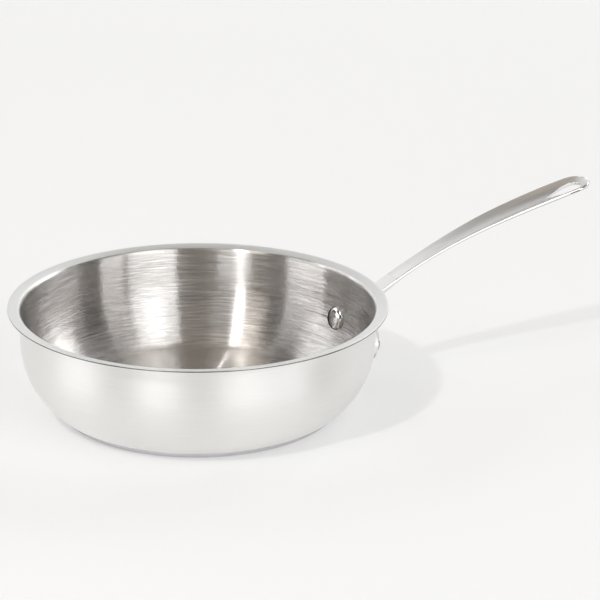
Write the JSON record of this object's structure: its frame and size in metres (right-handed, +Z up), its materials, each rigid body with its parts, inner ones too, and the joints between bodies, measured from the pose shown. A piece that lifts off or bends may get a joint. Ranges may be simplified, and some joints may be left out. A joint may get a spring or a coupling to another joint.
{
  "type": "saucier pan",
  "caption": "Round-sided stainless pan with a flared pouring rim, a bonded disc base and a long riveted handle with a teardrop hanging slot.",
  "frame": {"origin": "on the pan's axis, at the face that rests on the hob", "axes": "+Z up along the pan's axis, +X from the axis towards the handle's tip, +Y to the left of someone who looks from the axis along the handle"},
  "size_m": [0.4223, 0.254, 0.1271],
  "materials": {
    "vessel_steel": "fine circular brushing inside, satin outside",
    "core_aluminium": "plain, sealed in",
    "base_steel": "polished",
    "handle_steel": "brushed along its length, with polished edges",
    "rivet_steel": "polished"
  },
  "bodies": {
    "root": {"vessel": "vessel_steel", "base_core": "core_aluminium", "base_cap": "base_steel", "handle": "handle_steel", "rivet_left": "rivet_steel", "rivet_right": "rivet_steel"}
  },
  "joints": []
}
